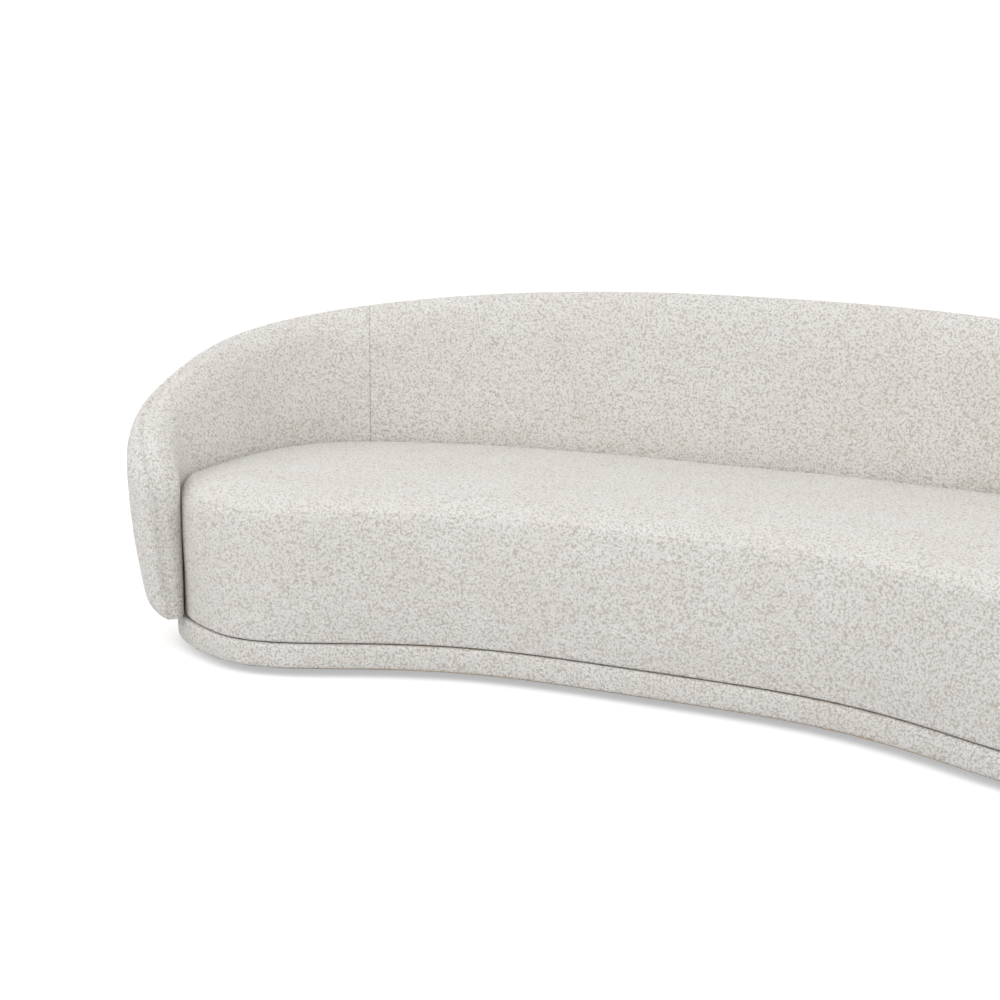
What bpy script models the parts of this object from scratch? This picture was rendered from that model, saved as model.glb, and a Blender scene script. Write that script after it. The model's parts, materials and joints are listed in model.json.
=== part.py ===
# Curved three-seat sofa. A tight upholstered seat stands on a recessed plinth, and one rolled
# shell wraps round its sides and back. Metres, +Z up, the front faces -Y, and the origin is on
# the floor under the middle of the whole sofa.
import math

import bmesh
import bpy
import numpy as np
from mathutils import Matrix, Vector

# Seat outline, seen from above: a rounded block whose front curves in at the middle
SEAT_HALF_WIDTH = 1.141
BACK_REACH = 0.530
FRONT_REACH = 0.406
BACK_SQUARENESS = 2.9
FRONT_SQUARENESS = 3.15
FRONT_DIP = 0.252
DIP_HALF_WIDTH = 0.930
DIP_FULLNESS = 1.84

# Heights above the floor
PLINTH_BOTTOM = 0.020
PLINTH_HEIGHT = 0.054
PLINTH_TOP = PLINTH_BOTTOM + PLINTH_HEIGHT
SHELL_BOTTOM = PLINTH_TOP + 0.004
SEAT_RAIL_HEIGHT = 0.116
SEAT_RAIL_TOP = PLINTH_TOP + SEAT_RAIL_HEIGHT
SEAT_SEAM = 0.363
SEAT_PAD = 0.027
SEAT_SHOULDER = 0.022
SEAT_TOP = SEAT_SEAM + SEAT_PAD
ARM_FRONT_HEIGHT = 0.370
BACK_HEIGHT = 0.778

# Shell: back and arms
ARM_SETBACK = 0.079
ARM_NOSE = 0.050
RIM_SLOPE_START = 2.26
RIM_SLOPE_END = 1.98
OUTER_FOOT = 0.075
OUTER_HEAD = 0.122
FLARE_FULLNESS = 3.4
FOOT_ROUND = 0.030
FOOT_TUCK = 0.8
RIM_ROLL = 0.055
ARM_GAP = 0.004
ARM_LEAN = 0.060
BACK_PRESS = 0.022
BACK_LEAN = 0.160
BACK_SEAM_RUN = 0.755
PRESS_START = 0.13
PRESS_END = 0.39
SHELL_FRAME_DEPTH = 0.050
FRAME_SETBACK = 0.020
SHELL_RAIL_HEIGHT = 0.040
TOP_RAIL_HEIGHT = 0.030

# Sheet and board thicknesses
COVER = 0.003
RAIL_BOARD = 0.018
SEAT_RAIL_BOARD = 0.022
DECK_BOARD = 0.012
RAIL_PADDING = 0.018
DUST_CLOTH = 0.0012

# Plinth, feet and fixings
PLINTH_PROUD = 0.035
PROUD_START = -0.12
PROUD_END = 0.36
CROSS_MEMBER_PLACES = (-0.66, -0.28, 0.28, 0.66)
FOOT_INSET = 0.095
FRONT_FOOT_RUN = 0.21
BACK_FOOT_RUN = 0.65
FOOT_TOP_RADIUS = 0.030
FOOT_END_RADIUS = 0.026
FOOT_COLLAR = 0.004
FOOT_BLOCK = 0.090
GLIDE_RADIUS = 0.018
GLIDE_HEIGHT = 0.003
GLIDE_EDGE = 0.001
RIB_WIDTH = 0.045
RIB_COUNT = 7
SPRING_PLACES = (-0.80, -0.40, 0.0, 0.40, 0.80)
SPRING_WIRE = 0.004
SPRING_SWING = 0.025
SPRING_PITCH = 0.032
BOLT_RADIUS = 0.003
BOLT_HEAD_RADIUS = 0.0062
BOLT_HEAD_HEIGHT = 0.004
SIDE_BOLT_RUN = 0.35
BACK_BOLT_RUN = 1.13
BOLT_SINK = 0.012
BOLT_BITE = 0.036
BOLT_POINT = 0.002

# Clearances
FIT = 0.0003
SEAT_CLEARANCE = 0.006
PRESS_CLEARANCE = 0.020
BOXING_LIFT = 0.003
FRAME_CLEARANCE = 0.0015
SPRING_CLEARANCE = 0.0008
HOLE_CLEARANCE = 0.0006

# How finely curves are cut
TRACE_STEPS = 1440
POINT_PITCH = 0.088
TURNED_STEPS = 16

parts = bpy.data.collections.new("curved_sofa")
cutters = bpy.data.collections.new("cutters")


def clear_scene():
    for old in list(bpy.data.objects):
        bpy.data.objects.remove(old, do_unlink=True)
    bpy.context.scene.collection.children.link(parts)
    bpy.context.scene.collection.children.link(cutters)


def finish(name, color, roughness, metallic=0.0):
    material = bpy.data.materials.new(name)
    material.use_nodes = True
    shader = material.node_tree.nodes["Principled BSDF"]
    shader.inputs["Base Color"].default_value = (*color, 1.0)
    shader.inputs["Roughness"].default_value = roughness
    shader.inputs["Metallic"].default_value = metallic
    return material


def add(name, data, material, place=(0.0, 0.0, 0.0), turn=0.0):
    obj = bpy.data.objects.new(name, data)
    obj.location = place
    obj.rotation_euler.z = turn
    data.materials.append(material)
    parts.objects.link(obj)
    return obj


def ease(value, start, end):
    # 0 before start, 1 after end, and a smooth curve between them
    share = min(max((value - start) / (end - start), 0.0), 1.0)
    return share * share * (3 - 2 * share)


def trace_outline():
    # The seat's outline from the front's middle round by the left and the back, with its run
    turn = np.linspace(0.0, math.pi, TRACE_STEPS + 1)
    front = turn <= math.pi / 2
    power = 2 / np.where(front, FRONT_SQUARENESS, BACK_SQUARENESS)
    x = SEAT_HALF_WIDTH * np.sin(turn).clip(0) ** power
    reach = np.where(front, -FRONT_REACH, BACK_REACH)
    y = reach * np.abs(np.cos(turn)) ** power
    across = np.clip(x / DIP_HALF_WIDTH, 0, 1) ** DIP_FULLNESS
    y = y + np.where(front, FRONT_DIP * (1 + np.cos(math.pi * across)) / 2, 0.0)
    left = np.column_stack([-x, y])
    right = np.column_stack([x, y])[::-1]
    loop = np.concatenate([left, right[1:]])
    steps = np.linalg.norm(np.diff(loop, axis=0), axis=1)
    run = np.concatenate([[0.0], np.cumsum(steps)])
    along = np.gradient(loop, axis=0)
    along /= np.linalg.norm(along, axis=1, keepdims=True)
    outward = np.column_stack([-along[:, 1], along[:, 0]])
    return run, loop, outward


RUN, LOOP, OUTWARD = trace_outline()
LENGTH = RUN[-1]
HALF = LENGTH / 2


def from_front(run):
    # Distance along the outline from the front's middle, by whichever way is shorter
    return min(run, LENGTH - run)


def arm_run():
    # Where the arm's front edge stands: a set distance behind the seat's foremost point
    left = RUN < HALF
    foremost = int(np.argmin(np.where(left, LOOP[:, 1], np.inf)))
    behind = left & (RUN > RUN[foremost]) & (LOOP[:, 1] > LOOP[foremost, 1] + ARM_SETBACK)
    return float(RUN[np.argmax(behind)])


ARM_RUN = arm_run()


def outer_offset(height):
    # The shell's outer face flares out as it rises
    rise = (height - SHELL_BOTTOM) / (BACK_HEIGHT - SHELL_BOTTOM)
    rise = min(max(rise, 0.0), 1.0)
    return OUTER_FOOT + (OUTER_HEAD - OUTER_FOOT) * (1 - (1 - rise) ** FLARE_FULLNESS)


def inner_offset(run, height):
    # The arms stand clear of the seat, and the back presses on it, then both lean out
    lean = BACK_LEAN * max(height - SEAT_TOP, 0.0)
    arm = ARM_GAP + ARM_LEAN * (min(height, SEAT_TOP) - SHELL_BOTTOM)
    back = ease(from_front(run), ARM_RUN + PRESS_START, ARM_RUN + PRESS_END)
    return arm * (1 - back) - BACK_PRESS * back + lean


def rim_height(run):
    # The rim climbs from the arm's front edge to the middle of the back
    share = min(max((from_front(run) - ARM_RUN) / (HALF - ARM_RUN), 0.0), 1.0)
    climb = (1 - (1 - share) ** RIM_SLOPE_START) ** (1 / RIM_SLOPE_END)
    return ARM_FRONT_HEIGHT + (BACK_HEIGHT - ARM_FRONT_HEIGHT) * climb


def plinth_offset(run):
    # Flush with the seat in front, and proud of it under the shell
    return PLINTH_PROUD * ease(from_front(run), ARM_RUN + PROUD_START, ARM_RUN + PROUD_END)


def seat_offset(run):
    # The seat is cut back where the shell presses in on it
    start = ARM_RUN + PRESS_START - PRESS_CLEARANCE
    end = ARM_RUN + PRESS_END - PRESS_CLEARANCE
    return -(BACK_PRESS + SEAT_CLEARANCE) * ease(from_front(run), start, end)


def spot(run, offset):
    # The point at this run, moved outwards from the seat's outline
    point = [np.interp(run, RUN, LOOP[:, k]) for k in (0, 1)]
    normal = [np.interp(run, RUN, OUTWARD[:, k]) for k in (0, 1)]
    return Vector((point[0] + normal[0] * offset, point[1] + normal[1] * offset - MIDDLE_Y))


def heading(run):
    # The turn about Z that brings +Y to the outward direction
    return math.atan2(-np.interp(run, RUN, OUTWARD[:, 0]), np.interp(run, RUN, OUTWARD[:, 1]))


MIDDLE_Y = 0.0
MIDDLE_Y = (spot(HALF, OUTER_HEAD).y + float(LOOP[:, 1].min())) / 2


def ring(offset_at, extra=0.0):
    # One closed loop of points round the sofa
    steps = 4 * math.ceil(HALF / POINT_PITCH / 2)
    runs = [LENGTH * step / steps for step in range(steps)]
    return [spot(run, offset_at(run) + extra) for run in runs]


def circle(center, radius):
    angles = [2 * math.pi * step / TURNED_STEPS for step in range(TURNED_STEPS)]
    return [center + Vector((math.cos(a), math.sin(a))) * radius for a in angles]


def plate(name, loops, bottom, top, material):
    # A flat board or cloth: the first loop is its edge, and the others are holes
    curve = bpy.data.curves.new(name, "CURVE")
    curve.dimensions = "2D"
    curve.fill_mode = "BOTH"
    curve.extrude = (top - bottom) / 2
    for loop in loops:
        spline = curve.splines.new("POLY")
        spline.points.add(len(loop) - 1)
        for point, where in zip(spline.points, loop):
            point.co = (where.x, where.y, 0.0, 1.0)
        spline.use_cyclic_u = True
    return add(name, curve, material, place=(0.0, 0.0, (top + bottom) / 2))


def as_mesh(obj):
    # The same piece as a welded mesh, which can be cut
    graph = bpy.context.evaluated_depsgraph_get()
    mesh = bpy.data.meshes.new_from_object(obj.evaluated_get(graph))
    work = bmesh.new()
    work.from_mesh(mesh)
    bmesh.ops.remove_doubles(work, verts=work.verts, dist=0.00001)
    work.to_mesh(mesh)
    work.free()
    solid = bpy.data.objects.new("solid", mesh)
    solid.matrix_world = obj.matrix_world
    name = obj.name
    bpy.data.objects.remove(obj, do_unlink=True)
    solid.name = name
    parts.objects.link(solid)
    return solid


def block(name, size, place, turn, material):
    mesh = bpy.data.meshes.new(name)
    work = bmesh.new()
    bmesh.ops.create_cube(work, size=1.0, matrix=Matrix.Diagonal((*size, 1.0)))
    work.to_mesh(mesh)
    work.free()
    return add(name, mesh, material, place, turn)


def turned(name, profile, place, material):
    # A round piece: a profile of (radius, height) from its top down, turned about Z
    mesh = bpy.data.meshes.new(name)
    points = [(radius, 0.0, height) for radius, height in profile]
    mesh.from_pydata(points, [(i, i + 1) for i in range(len(points) - 1)], [])
    obj = add(name, mesh, material, place)
    screw = obj.modifiers.new("Turn", "SCREW")
    screw.axis = "Z"
    screw.steps = TURNED_STEPS
    screw.render_steps = TURNED_STEPS
    screw.use_merge_vertices = True
    screw.merge_threshold = 0.00001
    return obj


def loft(name, sections, material, turn_back=None):
    # A closed body through sections of the same number of points. The diagonals of nested
    # faces run the same way, so that sheets laid on each other don't cross.
    mesh = bpy.data.meshes.new(name)
    work = bmesh.new()
    rows = [[work.verts.new(point) for point in section] for section in sections]
    count = len(rows[0])
    turn_back = turn_back or count
    for here, there in zip(rows, rows[1:]):
        for i in range(count):
            j = (i + 1) % count
            if i < turn_back:
                work.faces.new((here[i], there[i], there[j]))
                work.faces.new((here[i], there[j], here[j]))
            else:
                work.faces.new((here[i], there[i], here[j]))
                work.faces.new((there[i], there[j], here[j]))
    work.faces.new(rows[0])
    work.faces.new(rows[-1][::-1])
    work.to_mesh(mesh)
    work.free()
    return add(name, mesh, material)


def cut(obj, cutter):
    cutter.hide_render = True
    cutter.display_type = "WIRE"
    if cutter.name in parts.objects:
        parts.objects.unlink(cutter)
        cutters.objects.link(cutter)
    boolean = obj.modifiers.new("Cut", "BOOLEAN")
    boolean.operation = "DIFFERENCE"
    boolean.solver = "EXACT"
    boolean.object = cutter


# Points of the shell's cross-section, as shares of its height and turns round its edges
INNER_SHARES = (0.0, 0.2, 0.4, 0.6, 0.8, 1.0)
ROLL_TURNS = (22.5, 45.0, 67.5, 90.0, 112.5, 135.0, 157.5)
OUTER_SHARES = (1.0, 0.72, 0.46, 0.24, 0.10)
FOOT_TURNS = (30.0, 60.0, 90.0)
NOSE_TURNS = (25.0, 45.0, 65.0)
SEAM_POINT = len(INNER_SHARES) + ROLL_TURNS.index(67.5)


def wall_path(run, inset, pinch=1.0):
    # (offset, height) points up the inner face, over the rim and down the outer face
    top = rim_height(run) - inset - RIM_ROLL * (1 - pinch) / 2
    bottom = SHELL_BOTTOM + inset + FOOT_ROUND * (1 - pinch)
    roll = RIM_ROLL - inset
    spring_line = top - roll

    def across(height, side):
        inner = inner_offset(run, height)
        outer = outer_offset(height)
        middle = (inner + outer) / 2
        reach = (outer - inner) / 2 * pinch - inset
        return middle + side * reach

    def height_at(share):
        return bottom + (spring_line - bottom) * share

    path = [(across(height_at(share), -1), height_at(share)) for share in INNER_SHARES]
    for degrees in ROLL_TURNS:
        turn = math.radians(degrees)
        path.append((across(spring_line, -math.cos(turn)), spring_line + roll * math.sin(turn)))
    path += [(across(height_at(share), 1), height_at(share)) for share in OUTER_SHARES]
    foot = min(FOOT_ROUND, height_at(OUTER_SHARES[-1]) - bottom)
    for degrees in FOOT_TURNS:
        turn = math.radians(degrees)
        height = bottom + foot * (1 - math.sin(turn))
        tuck = foot * (1 - math.cos(turn)) * pinch * FOOT_TUCK
        path.append((across(height, 1) - tuck, height))
    return path


def in_space(run, path):
    return [spot(run, offset).to_3d() + Vector((0, 0, height)) for offset, height in path]


def runs_between(start, end):
    # Even steps along the outline, ends included
    steps = math.ceil((end - start) / POINT_PITCH)
    return [start + (end - start) * step / steps for step in range(steps + 1)]


def full_wall(start, end):
    # (run, pinch) pairs along the wall, where it has its full thickness
    return [(run, 1.0) for run in runs_between(start, end)]


def nose_stations(at_start):
    # The arms' front edges are rounded by narrowing the wall, in order of the run
    stations = []
    for degrees in NOSE_TURNS:
        turn = math.radians(degrees)
        run = ARM_RUN + ARM_NOSE * (1 - math.cos(turn))
        stations.append((run, math.sin(turn)))
    if at_start:
        return stations
    return [(LENGTH - run, pinch) for run, pinch in reversed(stations)]


def shell_panels():
    # The stations of the left arm, the back and the right arm, up to the seams between them
    start = ARM_RUN + ARM_NOSE
    seam = ARM_RUN + BACK_SEAM_RUN
    left = nose_stations(True) + full_wall(start, seam - FIT)
    back = full_wall(seam + FIT, LENGTH - seam - FIT)
    right = full_wall(LENGTH - seam + FIT, LENGTH - start)
    return {"left": left, "back": back, "right": right + nose_stations(False)}


def sheet_section(run, pinch, first, last, trim=False):
    # A cover's thickness between two points of the wall's path
    outside = wall_path(run, 0.0, pinch)[first:last + 1]
    inside = wall_path(run, COVER, pinch)[first:last + 1]
    if trim:
        for path in (outside, inside):
            edge = Vector(path[-1])
            path[-1] = tuple(edge + (Vector(path[-2]) - edge).normalized() * 2 * FIT)
    return in_space(run, outside + inside[::-1])


def frame_center(run, height):
    # The shell's frame is straight from its foot to the rim
    rim = rim_height(run) - RIM_ROLL
    share = (height - SHELL_BOTTOM) / (rim - SHELL_BOTTOM)
    foot = outer_offset(SHELL_BOTTOM)
    return foot + (outer_offset(rim) - foot) * share - SHELL_FRAME_DEPTH


def frame_section(run, bottom, top, half_thickness):
    low = frame_center(run, bottom)
    high = frame_center(run, top)
    path = [(low - half_thickness, bottom), (high - half_thickness, top)]
    path += [(high + half_thickness, top), (low + half_thickness, bottom)]
    return in_space(run, path)


def frame_limits():
    # The shell's frame stops short of the arms' rounded front edges
    start = ARM_RUN + ARM_NOSE + FRAME_SETBACK
    return start, LENGTH - start


def top_rail_bottom(run):
    return rim_height(run) - RIM_ROLL - TOP_RAIL_HEIGHT


def rib_section(run, runs, foot):
    # The rails are straight between their stations, and a rib follows them
    last = max(k for k in range(len(runs) - 1) if runs[k] <= run)
    share = (run - runs[last]) / (runs[last + 1] - runs[last])
    ends = []
    for station in (runs[last], runs[last + 1]):
        top = top_rail_bottom(station) - FRAME_CLEARANCE
        ends.append(frame_section(station, foot, top, RAIL_BOARD / 2))
    return [near.lerp(far, share) for near, far in zip(*ends)]


def make_shell_frame(plywood):
    half_board = RAIL_BOARD / 2
    start, end = frame_limits()
    runs = runs_between(start, end)
    bottom = PLINTH_TOP + FIT
    rail_top = bottom + SHELL_RAIL_HEIGHT
    sections = [frame_section(run, bottom, rail_top, half_board) for run in runs]
    bottom_rail = loft("shell_bottom_rail", sections, plywood)
    sections = []
    for run in runs:
        low = top_rail_bottom(run)
        sections.append(frame_section(run, low, low + TOP_RAIL_HEIGHT, half_board))
    loft("shell_top_rail", sections, plywood)
    spacing = (end - start - RIB_WIDTH) / (RIB_COUNT - 1)
    for index in range(RIB_COUNT):
        first = start + spacing * index
        last = min(first + RIB_WIDTH, end - FIT)
        places = [first, *(run for run in runs if first < run < last), last]
        sections = [rib_section(run, runs, rail_top + FIT) for run in places]
        loft(f"shell_rib_{index + 1}", sections, plywood)
    return bottom_rail


def make_shell_padding(foam, fabric):
    inset = COVER + FIT
    panels = shell_panels()
    stations = panels["left"] + panels["back"] + panels["right"]
    sections = [in_space(run, wall_path(run, inset, pinch)) for run, pinch in stations]
    padding = loft("shell_foam", sections, foam)
    start, end = frame_limits()
    half_slot = RAIL_BOARD / 2 + FRAME_CLEARANCE
    runs = runs_between(start, end)
    runs = [start - FRAME_CLEARANCE, *runs[1:-1], end + FRAME_CLEARANCE]
    slot = []
    for run in runs:
        top = top_rail_bottom(run) + TOP_RAIL_HEIGHT + 2 * FRAME_CLEARANCE
        slot.append(frame_section(run, SHELL_BOTTOM - COVER, top, half_slot))
    cut(padding, loft("shell_foam_slot", slot, foam))

    last = len(wall_path(HALF, 0.0)) - 1
    sections = [sheet_section(run, pinch, SEAM_POINT, last) for run, pinch in stations]
    loft("outer_cover", sections, fabric, turn_back=last - SEAM_POINT + 1)
    for side, panel in panels.items():
        sections = [sheet_section(run, pinch, 0, SEAM_POINT, trim=True) for run, pinch in panel]
        loft(f"inside_{side}_cover", sections, fabric, turn_back=SEAM_POINT + 1)


def crossing(offset_at, extra, x):
    # Where a line along Y at this x meets the front and the back of a loop
    points = np.array([tuple(point) for point in ring(offset_at, extra)])
    closed = np.vstack([points, points[:1]])
    found = []
    for (x0, y0), (x1, y1) in zip(closed, closed[1:]):
        if (x0 - x) * (x1 - x) <= 0 and x0 != x1:
            found.append(y0 + (y1 - y0) * (x - x0) / (x1 - x0))
    return min(found), max(found)


def make_feet(hardwood, nylon, plywood):
    block_top = PLINTH_TOP - FIT - DECK_BOARD - FIT
    block_bottom = PLINTH_BOTTOM + FIT
    front_run = ARM_RUN - FRONT_FOOT_RUN
    back_run = ARM_RUN + BACK_FOOT_RUN
    runs = [front_run, 0.0, LENGTH - front_run, back_run, HALF, LENGTH - back_run]
    holes = []
    for index, run in enumerate(runs, start=1):
        where = spot(run, -FOOT_INSET)
        size = (FOOT_BLOCK, FOOT_BLOCK, block_top - block_bottom)
        place = (where.x, where.y, (block_top + block_bottom) / 2)
        block(f"foot_block_{index}", size, place, heading(run), plywood)
        top = PLINTH_BOTTOM
        profile = [(0, top), (FOOT_TOP_RADIUS, top), (FOOT_TOP_RADIUS, top - FOOT_COLLAR)]
        profile += [(FOOT_END_RADIUS, GLIDE_HEIGHT), (0, GLIDE_HEIGHT)]
        turned(f"foot_{index}", profile, (where.x, where.y, 0.0), hardwood)
        top = GLIDE_HEIGHT - FIT
        profile = [(0, top), (GLIDE_RADIUS, top), (GLIDE_RADIUS, GLIDE_EDGE)]
        profile += [(GLIDE_RADIUS - GLIDE_EDGE, 0.0), (0, 0.0)]
        turned(f"glide_{index}", profile, (where.x, where.y, 0.0), nylon)
        holes.append(circle(where, FOOT_TOP_RADIUS + 2 * FRAME_CLEARANCE))
    return holes


def make_plinth(holes, fabric, plywood, cloth):
    rail_outside = -COVER - FIT
    rail_inside = rail_outside - RAIL_BOARD
    loops = [ring(plinth_offset), ring(plinth_offset, -COVER)]
    plate("plinth_cover", loops, PLINTH_BOTTOM, PLINTH_TOP - FIT, fabric)
    loops = [ring(plinth_offset, rail_outside), ring(plinth_offset, rail_inside)]
    rail = plate("plinth_rail", loops, PLINTH_BOTTOM + FIT, PLINTH_TOP - FIT, plywood)
    deck_top = PLINTH_TOP - FIT
    edge = ring(plinth_offset, rail_inside - FIT)
    plate("deck_board", [edge], deck_top - DECK_BOARD, deck_top, plywood)
    member_top = deck_top - DECK_BOARD - FIT
    member_bottom = PLINTH_BOTTOM + FIT
    for index, x in enumerate(CROSS_MEMBER_PLACES, start=1):
        ends = [
            crossing(plinth_offset, rail_inside - FIT, side)
            for side in (x - RAIL_BOARD / 2, x + RAIL_BOARD / 2)
        ]
        front = max(end[0] for end in ends)
        back = min(end[1] for end in ends)
        size = (RAIL_BOARD, back - front, member_top - member_bottom)
        place = (x, (front + back) / 2, (member_top + member_bottom) / 2)
        block(f"cross_member_{index}", size, place, 0.0, plywood)
    cloth_top = PLINTH_BOTTOM
    edge = ring(plinth_offset, -2 * COVER)
    plate("dust_cover", [edge, *holes], cloth_top - DUST_CLOTH, cloth_top, cloth)
    return as_mesh(rail)


def bolt_runs():
    side = ARM_RUN + SIDE_BOLT_RUN
    back = ARM_RUN + BACK_BOLT_RUN
    return (side, back, LENGTH - back, LENGTH - side)


def make_bolts(plinth_rail, bottom_rail, steel):
    # Long bolts come up through the plinth and hold the shell down
    under_head = PLINTH_BOTTOM + BOLT_SINK
    offset = PLINTH_PROUD - COVER - RAIL_BOARD / 2
    tip = PLINTH_TOP + BOLT_BITE
    for index, run in enumerate(bolt_runs(), start=1):
        where = spot(run, offset)
        head_bottom = under_head - BOLT_HEAD_HEIGHT
        profile = [(0, tip), (BOLT_RADIUS, tip - BOLT_POINT), (BOLT_RADIUS, under_head)]
        profile += [(BOLT_HEAD_RADIUS, under_head), (BOLT_HEAD_RADIUS, head_bottom)]
        profile += [(0, head_bottom)]
        turned(f"shell_bolt_{index}", profile, (where.x, where.y, 0.0), steel)
        hole = BOLT_RADIUS + HOLE_CLEARANCE
        sink = BOLT_HEAD_RADIUS + HOLE_CLEARANCE
        shoulder = under_head + HOLE_CLEARANCE
        bored_to = tip + BOLT_POINT
        profile = [(0, bored_to), (hole, bored_to), (hole, shoulder)]
        profile += [(sink, shoulder), (sink, 0.0), (0, 0.0)]
        cutter = turned(f"bolt_hole_{index}", profile, (where.x, where.y, 0.0), steel)
        cut(plinth_rail, cutter)
        cut(bottom_rail, cutter)


def make_seat_frame(plywood, wire):
    # The rail stands back from the cover, with room for padding between them
    outside = -COVER - RAIL_PADDING
    inside = outside - SEAT_RAIL_BOARD
    loops = [ring(seat_offset, outside), ring(seat_offset, inside)]
    plate("seat_rail", loops, PLINTH_TOP, SEAT_RAIL_TOP, plywood)
    for index, x in enumerate(SPRING_PLACES, start=1):
        middle = outside - SEAT_RAIL_BOARD / 2
        front, back = crossing(seat_offset, middle, x)
        turns = int((back - front) / SPRING_PITCH)
        curve = bpy.data.curves.new(f"seat_spring_{index}", "CURVE")
        curve.dimensions = "3D"
        curve.bevel_depth = SPRING_WIRE / 2
        curve.bevel_resolution = 2
        curve.use_fill_caps = True
        spline = curve.splines.new("POLY")
        spline.points.add(turns)
        for step, point in enumerate(spline.points):
            swing = SPRING_SWING * (1 if step % 2 else -1)
            y = front + (back - front) * step / turns
            point.co = (x + swing, y, 0.0, 1.0)
        height = SEAT_RAIL_TOP + SPRING_WIRE / 2 + SPRING_CLEARANCE
        add(f"seat_spring_{index}", curve, wire, place=(0.0, 0.0, height))


def make_seat_padding(foam, fabric):
    loops = [ring(seat_offset), ring(seat_offset, -COVER)]
    boxing_bottom = PLINTH_TOP + BOXING_LIFT
    plate("seat_boxing", loops, boxing_bottom, SEAT_SEAM - FIT, fabric)
    foam_bottom = SEAT_RAIL_TOP + SPRING_WIRE + 2 * SPRING_CLEARANCE
    plate("seat_foam", [ring(seat_offset, -COVER - FIT)], foam_bottom, SEAT_SEAM - FIT, foam)
    pad = as_mesh(plate("seat_top_pad", [ring(seat_offset)], SEAT_SEAM, SEAT_TOP, fabric))
    weights = pad.data.attributes.new("bevel_weight_edge", "FLOAT", "EDGE")
    top = SEAT_PAD / 2
    for edge in pad.data.edges:
        ends = [pad.data.vertices[index].co.z for index in edge.vertices]
        sides = [pad.data.polygons[f].normal.z for f in edge_faces(pad.data, edge)]
        if min(ends) > top - FIT and min(sides) < 0.5:
            weights.data[edge.index].value = 1.0
    bevel = pad.modifiers.new("Shoulder", "BEVEL")
    bevel.width = SEAT_SHOULDER
    bevel.segments = 3
    bevel.limit_method = "WEIGHT"


def edge_faces(mesh, edge):
    ends = set(edge.vertices)
    return [face.index for face in mesh.polygons if ends <= set(face.vertices)]


def main():
    clear_scene()
    fabric = finish("upholstery", (0.78, 0.75, 0.70), 0.95)
    foam = finish("foam", (0.86, 0.80, 0.62), 0.9)
    plywood = finish("plywood", (0.62, 0.45, 0.27), 0.6)
    hardwood = finish("hardwood", (0.24, 0.13, 0.07), 0.5)
    wire = finish("spring_steel", (0.35, 0.36, 0.38), 0.35, 1.0)
    steel = finish("zinc_steel", (0.70, 0.71, 0.73), 0.3, 1.0)
    nylon = finish("nylon", (0.08, 0.08, 0.08), 0.5)
    cloth = finish("dust_cloth", (0.05, 0.05, 0.05), 0.9)
    holes = make_feet(hardwood, nylon, plywood)
    plinth_rail = make_plinth(holes, fabric, plywood, cloth)
    make_seat_frame(plywood, wire)
    make_seat_padding(foam, fabric)
    bottom_rail = make_shell_frame(plywood)
    make_shell_padding(foam, fabric)
    make_bolts(plinth_rail, bottom_rail, steel)


main()
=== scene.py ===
import json
import math

import bpy
import numpy as np
from mathutils import Matrix, Vector


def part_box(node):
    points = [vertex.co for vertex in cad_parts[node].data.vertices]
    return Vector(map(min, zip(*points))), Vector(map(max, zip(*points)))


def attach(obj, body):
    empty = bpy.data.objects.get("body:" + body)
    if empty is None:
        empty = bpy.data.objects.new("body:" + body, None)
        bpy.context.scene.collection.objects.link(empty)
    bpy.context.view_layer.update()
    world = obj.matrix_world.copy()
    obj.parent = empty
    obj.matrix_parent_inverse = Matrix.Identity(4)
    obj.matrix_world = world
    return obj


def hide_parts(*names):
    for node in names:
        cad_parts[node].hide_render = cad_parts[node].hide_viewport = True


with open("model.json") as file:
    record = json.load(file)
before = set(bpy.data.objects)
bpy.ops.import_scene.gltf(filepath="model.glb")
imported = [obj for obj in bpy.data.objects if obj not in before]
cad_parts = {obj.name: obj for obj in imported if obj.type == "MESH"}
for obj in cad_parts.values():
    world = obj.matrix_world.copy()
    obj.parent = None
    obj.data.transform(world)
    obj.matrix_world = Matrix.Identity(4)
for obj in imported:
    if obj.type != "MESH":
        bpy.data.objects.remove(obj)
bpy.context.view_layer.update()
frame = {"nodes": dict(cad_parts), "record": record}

scene = bpy.context.scene


# the plan: one outline that the seat, the plinth and the shell all follow
plan = {
    "plinthProud": 0.035,      # how far the plinth stands out under the shell
    "proudFrom": -0.120,       # where it starts to, from the arm's front edge
    "proudTo": 0.360,
    "backReach": 0.530,
    "frontReach": 0.406,
    "backSquareness": 2.9,
    "frontSquareness": 3.15,
    "frontDip": 0.252,
    "dipHalfWidth": 0.930,
    "dipFullness": 1.84,
    "armSetback": 0.079,       # from the seat's foremost point back to the arm's front edge
    "backSeam": 0.755,         # from the arm's front edge to the seam beside the back
    "pressFrom": 0.130,        # where the back starts to press on the seat
    "pressTo": 0.390,
    "backPress": 0.022,
    "pressClearance": 0.0015,
    "steps": 6000,
}


def ease(value, start, end):
    share = np.clip((value - start) / (end - start), 0.0, 1.0)
    return share * share * (3 - 2 * share)


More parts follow.
